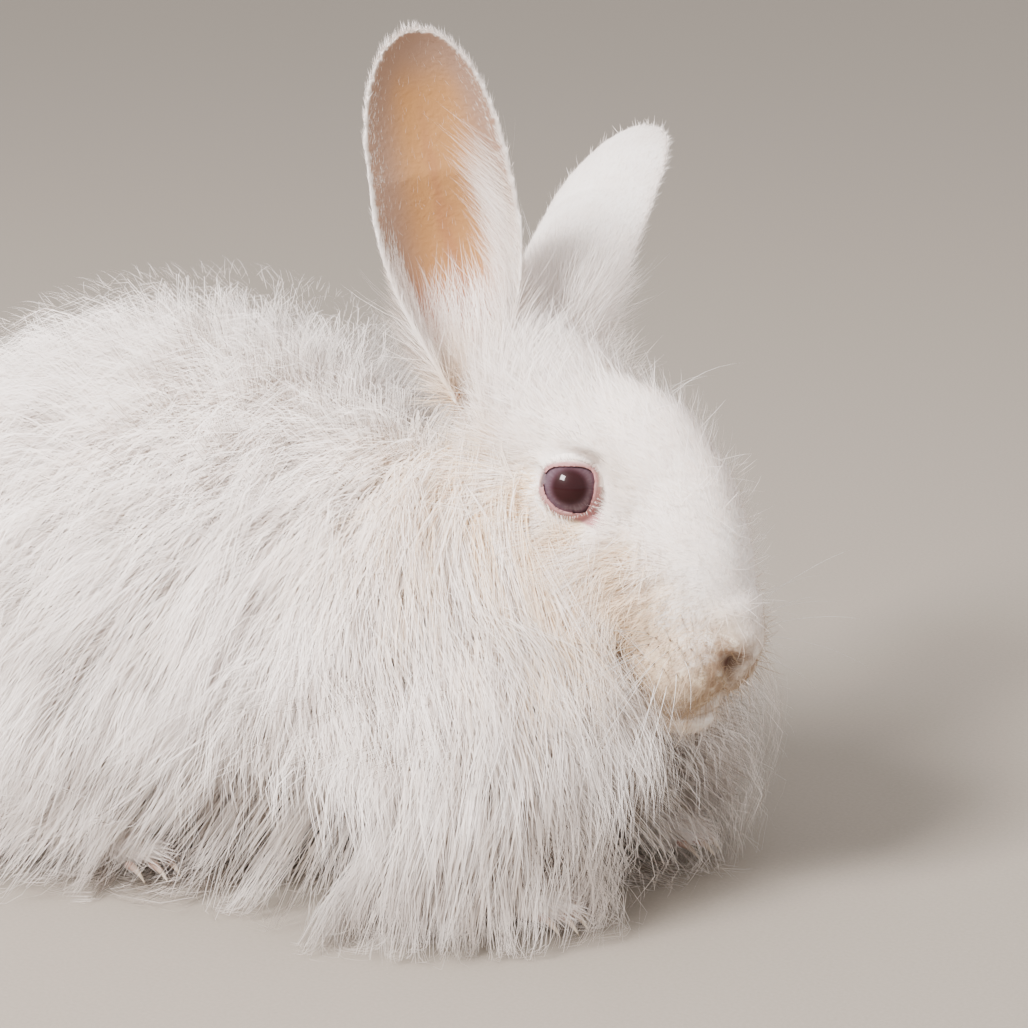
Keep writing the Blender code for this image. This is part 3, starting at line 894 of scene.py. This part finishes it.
def fuzzPiece():              # single fine hairs that start just under the outline and stand a little out of it
    levels = 4
    roots, normals = scatter(longCoat["fuzz"], longWeight)
    limit = nearest(roots)
    outward = unit(limit - roots)
    lie = flat(bodyLie(roots, normals) + rng.normal(0, 0.5, (len(roots), 3)), normals)
    s = np.linspace(0, 1, levels)[None, :, None]
    length = (longCoat["fuzzLength"] * rng.uniform(0.6, 1.3, len(roots)))[:, None, None]
    bend = 0.45 * np.sin(math.pi / 2 * s) * outward[:, None] + 0.9 * s * lie[:, None]
    path = (limit - outward * 2)[:, None] + length * bend
    path[..., 2] = np.maximum(path[..., 2], 0.5)
    plain = np.zeros(len(roots))
    width = taper(levels) * longCoat["fuzzWidth"] + plain[:, None]
    strandMesh("coat_fuzz", path, width, coatFacing(path, outward), plain, plain)


longPieces()
underPiece()
fuzzPiece()

# short fur
shortCoat = {"face": 56000, "guard": 4500, "feet": 5000}


def shortHair(name, roots, normals, lie, length, lift, width, levels=3, jitter=0.22):
    # root, plus the lie times how far along, plus the normal times a lift that bends back
    count = len(roots)
    lie = flat(lie + rng.normal(0, jitter, (count, 3)), normals)
    s = np.linspace(0, 1, levels)[None, :, None]
    length = (length * (0.65 + 0.6 * rng.random(count)))[:, None, None]
    lift = (lift * (0.6 + 0.8 * rng.random(count)))[:, None, None]
    path = (roots - normals * 0.3)[:, None] + lie[:, None] * length * s
    path = path + normals[:, None] * length * lift * s * (1.5 - 0.5 * s)
    path[..., 2] = np.maximum(path[..., 2], 0.4)
    cream, stainAndPaintedShade = markings(roots)
    cream = np.clip(cream * 0.8 + 0.15 * rng.random(count) ** 2, 0, 1)
    facing = np.repeat(normals[:, None], levels, 1)
    width = taper(levels) * width * (0.7 + 0.6 * rng.random((count, 1)))
    strandMesh(name, path, width, facing, cream, stainAndPaintedShade * 0.8, twist=0.3)


def faceWeight(p, n):         # the head before the ruff's line, without the ears, the lids' rims and the nostrils
    s = toSkull(p)
    nostril = np.hypot(np.hypot(s[:, 0] - 57, np.abs(s[:, 1]) - 6.5), s[:, 2] + 21)
    head = (1 - smooth(6, 20, ruffSide(p))) * (p[:, 0] > 60) * (p[:, 2] > 40)
    return head * (onEar(p) < 0.5) * (eyeGap(p) > 0.1) * (nostril > 3.8)


def faceLie(p, n):
    # back from the nose, down and out over the cheeks, away from the eyes, with whorls of two sizes
    s = toSkull(p)
    sign, y, z = np.sign(s[:, 1]), np.abs(s[:, 1]), s[:, 2]
    cheek = smooth(5, 14, y) * (1 - smooth(-14, 4, z))
    chin = 1 - smooth(-44, -32, z)
    lie = np.stack([-1 + 0.35 * cheek + 0.3 * chin, (0.25 * cheek + 0.10) * sign,
                    0.15 - 0.75 * cheek - 0.5 * chin], -1) @ skullTurn.T
    for one in eyes.values():
        d, depth, r, angle = lidDistance(one, p)
        away = unit(p - one["centre"] - one["look"] * ((p - one["centre"]) @ one["look"])[:, None])
        inward = np.minimum((lie * away).sum(1), 0)        # what of the lie points into the eye is taken out
        lie = lie + away * ((0.35 - inward) * bell(np.maximum(d - 1, 0), 4.5) * (depth > 0))[:, None]
    rough = 0.12 + 0.25 * smooth(20, 34, s[:, 0]) * (1 - smooth(-16, -6, z))
    return lie + 0.20 * swirl(p, 24) + rough[:, None] * swirl(p, 6)


def faceLength(p):            # longer towards the ruff and the crown, shorter near the lids
    s = toSkull(p)
    length = 2.6 + 3.4 * (1 - smooth(16, 44, s[:, 0])) + 9.0 * smooth(-14, 6, ruffSide(p))
    length = length + 6.0 * bell(s[:, 0] + 24, 12) * (s[:, 2] > 5)
    return length * (0.30 + 0.70 * smooth(0, 8, eyeGap(p)))


roots, normals = scatter(shortCoat["face"], faceWeight)
shortHair("coat_face", roots, normals, faceLie(roots, normals), faceLength(roots), 0.28, 0.16)
roots, normals = scatter(shortCoat["guard"], lambda p, n: faceWeight(p, n) * smooth(5, 9, eyeGap(p)))
guardLie = faceLie(roots, normals) + 0.9 * unit(roots - skullPlace)
length = 4.5 + 0.5 * faceLength(roots)
shortHair("coat_face_guard", roots, normals, guardLie, length, 0.85, 0.15, levels=5, jitter=0.35)
roots, normals = scatter(shortCoat["feet"], lambda p, n: (p[:, 2] < 22) * (n[:, 2] > -0.5) * 1.0)
shortHair("coat_feet", roots, normals, np.tile([1.0, 0, -0.3], (len(roots), 1)), 7.0, 0.35, 0.4)

# fur of the ears: short on the back and the rim, fine down inside, long hairs from the front edge, tufts at the foot
earFur = {"back": 24000, "rim": 16000, "fringe": 2600, "down": 900, "root": 6500}


def earWeight(low, high, side):       # between two places across the sheet, on its inner (1) or outer (-1) face
    def weight(p, n):
        t, a, inward, off = earPlace(p)
        return onEar(p) * smooth(low, high, np.abs(a) + 0.9 * smooth(0.9, 1.0, t)) * (inward * side > 0)
    return weight


def fringeWeight(p, n):       # near the front edge of the inner face, from the foot to past the middle
    t, a, inward, off = earPlace(p)
    return onEar(p) * smooth(0.60, 0.85, a) * (inward > 0) * smooth(0.03, 0.10, t) * (1 - smooth(0.42, 0.68, t))


def rootWeight(p, n):         # in a ring round the foot of each ear
    near = np.zeros(len(p))
    for ear in ears.values():
        near = np.maximum(near, bell(np.linalg.norm(p - ear["base"] - ear["up"] * 9, axis=1), 14))
    return near * (earPlace(p)[0] < 0.24)


def earRoots(kind, weight):   # roots and normals, the foot and axes of the ear each is on, its place along and across
    roots, normals = scatter(earFur[kind], weight)
    left = (roots[:, 1] > 0)[:, None]
    frames = [np.where(left, ears["left"][key], ears["right"][key]) for key in ("base", "up", "side", "out")]
    t, a, inward, off = earPlace(roots)
    return roots, normals, *frames, t, a


roots, normals, base, up, side, out, t, a = earRoots("back", earWeight(-1.0, -0.9, -1))
low = 1 - smooth(0.12, 0.42, t)
length = 3.4 + 7.0 * low + 2.5 * smooth(0.75, 1.0, np.abs(a)) * (roots[:, 1] > 0)
lie = up + side * (0.35 * a * smooth(0.3, 0.6, t))[:, None]
shortHair("coat_ear_backs", roots, normals, lie, length, 0.15 + 0.45 * low, 0.13)

roots, normals, base, up, side, out, t, a = earRoots("rim", earWeight(0.62, 0.86, 1))
low = 1 - smooth(0.1, 0.5, t)
lean = (0.10 + 0.35 * (a > 0) * (1 - smooth(0.5, 0.9, t))) * np.sign(a) * smooth(0.15, 0.4, t)
lean = lean - 0.5 * low * (a < 0) * np.sign(a)        # low on the back edge they lean outwards
lie = up - side * lean[:, None]
shortHair("coat_ear_rims", roots, normals, lie, 3.2 + 6.0 * low, 0.10 + 0.25 * low, 0.11, jitter=0.12)

roots, normals, base, up, side, out, t, a = earRoots("down", earWeight(-1.0, -0.9, 1))
shortHair("coat_ear_down", roots, normals, up, 4.0, 0.16, 0.04)

roots, normals, base, up, side, out, t, a = earRoots("fringe", fringeWeight)
shortHair("coat_ear_fringe", roots, normals, up - side * 0.80 + out * 0.2, 17.0, 0.40, 0.055, levels=5, jitter=0.13)

roots, normals, base, up, side, out, t, a = earRoots("root", rootWeight)
lie = up + 0.35 * flat(roots - base, up) + 0.15 * swirl(roots, 14)
shortHair("coat_ear_roots", roots, normals, lie, 17.0, 0.45, 0.12, levels=4, jitter=0.2)

# loose wisps that stand a little proud of the coat, most of them low down
wisps = {"count": 450, "strands": 4, "levels": 7, "width": 0.10}


def wispWeight(p, n):
    return longWeight(p, n) * (0.25 + 0.75 * (1 - smooth(60, 130, p[:, 2])))


roots, normals = scatter(wisps["count"], wispWeight)
lie, length = bodyLie(roots, normals), 1.08 * longLength(roots, normals)
hair, facing, reach = locks(roots, normals, lie, length, wisps["strands"], 2.0, levels=wisps["levels"],
                            hold=(0.95, 1.12), clump=0.4, wave=3.0, bend=0.16, wander=0.38, proud=(-0.5, 6.0))
plain = 0 * reach
strandMesh("coat_wisps", hair, taper(wisps["levels"]) * wisps["width"] + plain[:, None], facing, plain, plain)
bpy.data.objects.remove(outline, do_unlink=True)


def tubes(name, path, radius, sides, finish):
    # rings round each path, closed by a point at the tip and a cap at the root
    count, levels = path.shape[:2]
    ahead = unit(np.gradient(path, axis=1))
    first = unit(np.cross(ahead, np.array([0.31, 0.22, 0.92])))
    second = np.cross(ahead, first)
    turn = np.linspace(0, 2 * math.pi, sides, endpoint=False)
    ring = first[:, :, None] * np.cos(turn)[:, None] + second[:, :, None] * np.sin(turn)[:, None]
    rings = (path[:, :, None] + ring * radius[..., None, None])[:, :-1]
    points = np.concatenate([rings.reshape(count, -1, 3), path[:, -1:], path[:, :1]], 1)
    per = (levels - 1) * sides + 2
    start = (np.arange(count) * per)[:, None, None]
    i, j = np.meshgrid(np.arange(levels - 2) * sides, np.arange(sides), indexing="ij")
    k = (j + 1) % sides
    quads = np.stack([start + i + j, start + i + k, start + i + sides + k, start + i + sides + j], -1).reshape(-1, 4)
    j, k, last = j[0], k[0], (levels - 2) * sides
    start = start[:, 0]
    ends = np.stack([start + last + j, start + last + k, start + per - 2 + 0 * j], -1).reshape(-1, 3)
    caps = np.stack([start + k, start + j, start + per - 1 + 0 * j], -1).reshape(-1, 3)
    obj = meshObject(name, points.reshape(-1, 3), [quads, np.vstack([ends, caps])])
    along = np.append(np.repeat(np.linspace(0, 1, levels)[:-1], sides), [1.0, 0.0])
    giveAttributes(obj, {"along": np.tile(along, count)})
    print(name, 2 * len(quads) + len(ends) + len(caps), "triangles")
    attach(obj, "root")
    obj.data.materials.append(finish)
    return obj


def seat(points):             # the nearest points of the skin, with their normals
    near = np.array([np.argmin(((skinPoints - p) ** 2).sum(1)) for p in points])
    return skinPoints[near], skinNormals[near]


# whiskers on the pads and over the eyes, lashes round the lids
lashes = {"above": 60, "below": 40, "length": (2.2, 4.2), "radius": 0.055, "levels": 5}


def whiskerFinish():          # dark at the root, then near white with paler noise
    finish = Finish("whisker_hair", {"Roughness": 0.35, "Specular IOR Level": 0.5})
    along = finish.read("along")
    colour = finish.mix(along.step(0.0, 0.10), (0.22, 0.15, 0.11), (0.88, 0.85, 0.82))
    finish.feed("Base Color", finish.mix(finish.noise(400).step(0.4, 0.7) * 0.3, colour, (0.72, 0.66, 0.62)))
    return finish.material


def hairTube(name, roots, normals, heads, lengths, sag, levels, thickness, bulb=0.0):
    # each starts along its head out of the skin and bends towards the sag; its radius falls to the tip
    s = np.linspace(0, 1, levels)[None]
    run = unit(heads)[:, None] * s[..., None] + np.asarray(sag) * s[..., None] ** 2.2
    path = roots[:, None] - normals[:, None] * 0.6 + lengths[:, None, None] * run
    radius = thickness(s) + bulb * bell(s, 0.07) + 0 * lengths[:, None]
    tubes(name, path, radius, 3, whiskerMaterial)


whiskerMaterial = whiskerFinish()
for sideName, sign in (("right", -1), ("left", 1)):
    row, spot = whiskerRow, whiskerSpot
    count = len(row)
    place = np.stack([follicles[:, 0] + rng.normal(0, 0.4, count), sign * (15 + 0 * row),
                      follicles[:, 1] + rng.normal(0, 0.4, count)], -1)
    roots, normals = seat(fromSkull(place))
    heads = np.stack([0.46 - 0.13 * spot + rng.normal(0, 0.08, count), sign * (0.80 + rng.normal(0, 0.08, count)),
                      0.30 - 0.20 * row + rng.normal(0, 0.08, count)], -1)
    lengths = rng.uniform(*whiskers["length"], count) * (0.72 + 0.28 * (spot > 0))
    lengths = np.minimum(lengths, (whiskers["frontMost"] - roots[:, 0]) / np.maximum(unit(heads)[:, 0], 0.05))
    hairTube("whiskers_" + sideName, roots, normals, heads, lengths, (-0.10, 0, -0.20), whiskers["levels"],
             lambda s: whiskers["radius"] * (1.15 - s), bulb=0.22)
    one = eyes[sideName]
    pick = np.arange(whiskers["brows"])
    place = one["centre"] + one["forward"] * (1.5 * pick - 2)[:, None] + one["upward"] * 12.5 + one["look"] * 6
    roots, normals = seat(place)
    heads = normals + np.array([0.25, sign * 0.15, 0.75]) + rng.normal(0, 0.15, (len(pick), 3))
    hairTube("brow_whiskers_" + sideName, roots, normals, heads, rng.uniform(20, 34, len(pick)),
             (0.15, sign * 0.15, -0.35), whiskers["browLevels"], lambda s: 0.07 * (1.15 - s))
    turns = np.concatenate([np.linspace(30, 165, lashes["above"]), np.linspace(-160, -20, lashes["below"])])
    count = len(turns)
    turns = turns + rng.normal(0, 2, count)
    reach = lidReach(turns) + 0.7
    turns = np.radians(turns)
    outward = one["forward"] * np.cos(turns)[:, None] + one["upward"] * np.sin(turns)[:, None]
    roots, normals = seat(one["centre"] + outward * reach[:, None] + one["look"] * 5.5)
    heads = outward * 0.7 + one["look"] * 0.8 + rng.normal(0, 0.18, (count, 3))
    lengths = rng.uniform(*lashes["length"], count) * np.where(turns > 0, 1.15, 0.5)
    hairTube("lashes_" + sideName, roots, 0 * normals, heads, lengths, one["look"] * -0.2, lashes["levels"],
             lambda s: lashes["radius"] * (1.1 - s))

# claws: four to a foot, curving down from the toes; each toe by its place across the foot and its reach ahead
claws = {"length": 8.5, "radius": 1.25, "sides": 10, "levels": 9, "height": 5.6, "drop": 4.4}
feet = [{"place": (114, 34), "splay": 5, "toes": ((-6.5, 15.0), (-2.2, 18.0), (2.2, 18.0), (6.5, 15.0))},
        {"place": (-29, 66), "splay": 7, "toes": ((-7.5, 39.0), (-2.6, 43.5), (2.6, 43.5), (7.5, 39.0))}]


def clawFinish():             # pinkish at the root to pale horn at the tip, with streaks of noise
    finish = Finish("claw_horn", {"Roughness": 0.38, "Specular IOR Level": 0.45})
    along = finish.read("along")
    colour = finish.mix(along.step(0.1, 0.8), (0.50, 0.30, 0.24), (0.66, 0.56, 0.44))
    finish.feed("Base Color", finish.mix(finish.noise(350, 4).step(0.4, 0.7) * 0.4, colour, (0.42, 0.32, 0.24)))
    finish.bump(finish.noise(900, 2), 0.2, 0.0003)
    return finish.material


clawRoots, clawHeads = [], []
for foot in feet:
    x, y = foot["place"]
    for sign in (-1, 1):
        turn = math.radians(foot["splay"]) * sign
        ahead = np.array([math.cos(turn), math.sin(turn), 0])
        aside = np.array([-math.sin(turn), math.cos(turn), 0])
        for across, reach in foot["toes"]:
            clawRoots.append(np.array([x, sign * y, claws["height"]]) + ahead * (reach - 3.5) + aside * across)
            clawHeads.append(ahead)
s = np.linspace(0, 1, claws["levels"])[None, :, None]
path = (np.array(clawRoots)[:, None] + np.array(clawHeads)[:, None] * claws["length"] * (s - 0.12 * s ** 2)
        - np.array([0, 0, claws["drop"]]) * s ** 2)
radius = claws["radius"] * (1 - s[..., 0] ** 1.6) + 0.02 + 0 * path[..., 0]
tubes("claws", path, radius, claws["sides"], clawFinish())
print("whiskers, lashes and claws done")

# stage: camera, floor and lights
camera = {"azimuth": 35.0, "elevation": 15.0, "distance": 0.850, "focalPixels": 2975.0, "picturePixels": 1028.0,
          "sensor": 36, "aim": (0.087, 0.0, 0.106)}
studio = {"keyPlace": (-0.15, -1.3, 1.35), "keyAim": (0, 0, 0.1), "keySize": 0.55, "keyPower": 108,
          "keyColour": (1.0, 0.955, 0.935), "sky": (0.62, 0.595, 0.585, 1), "skyStrength": 2.05,
          "floor": 12, "floorDark": (0.25, 0.22, 0.185), "floorPale": (0.31, 0.275, 0.235)}


def floorFinish():            # fine noise between two close colours
    finish = Finish("pale_floor", {"Roughness": 0.85, "Specular IOR Level": 0.2})
    finish.feed("Base Color", finish.mix(finish.noise(900, 2), studio["floorDark"], studio["floorPale"]))
    return finish.material


def setStage():
    a, e = math.radians(camera["azimuth"]), math.radians(camera["elevation"])
    back = Vector((math.sin(a) * math.cos(e), -math.cos(a) * math.cos(e), math.sin(e)))
    lens = bpy.data.cameras.new("camera")
    lens.sensor_width = camera["sensor"]
    lens.lens = camera["focalPixels"] / camera["picturePixels"] * lens.sensor_width
    lens.clip_start = 0.01
    shot = placed("camera", lens)
    shot.location = Vector(camera["aim"]) + back * camera["distance"]
    shot.rotation_euler = back.to_track_quat("Z", "Y").to_euler()
    bpy.context.scene.camera = shot
    w = studio["floor"]
    floorMesh = bpy.data.meshes.new("floor")
    floorMesh.from_pydata([(-w, -w, 0), (w, -w, 0), (w, w, 0), (-w, w, 0)], [], [(0, 1, 2, 3)])
    floor = placed("floor", floorMesh)
    floor.data.materials.append(floorFinish())
    lamp = bpy.data.lights.new("key", "AREA")
    lamp.size = studio["keySize"]
    lamp.energy = studio["keyPower"]
    lamp.color = studio["keyColour"]
    light = placed("key", lamp)
    light.location = studio["keyPlace"]
    light.rotation_euler = (Vector(studio["keyPlace"]) - Vector(studio["keyAim"])).to_track_quat("Z", "Y").to_euler()
    world = bpy.data.worlds.new("studio")
    world.use_nodes = True
    sky = world.node_tree.nodes["Background"].inputs
    sky["Color"].default_value = studio["sky"]
    sky["Strength"].default_value = studio["skyStrength"]
    bpy.context.scene.world = world


setStage()
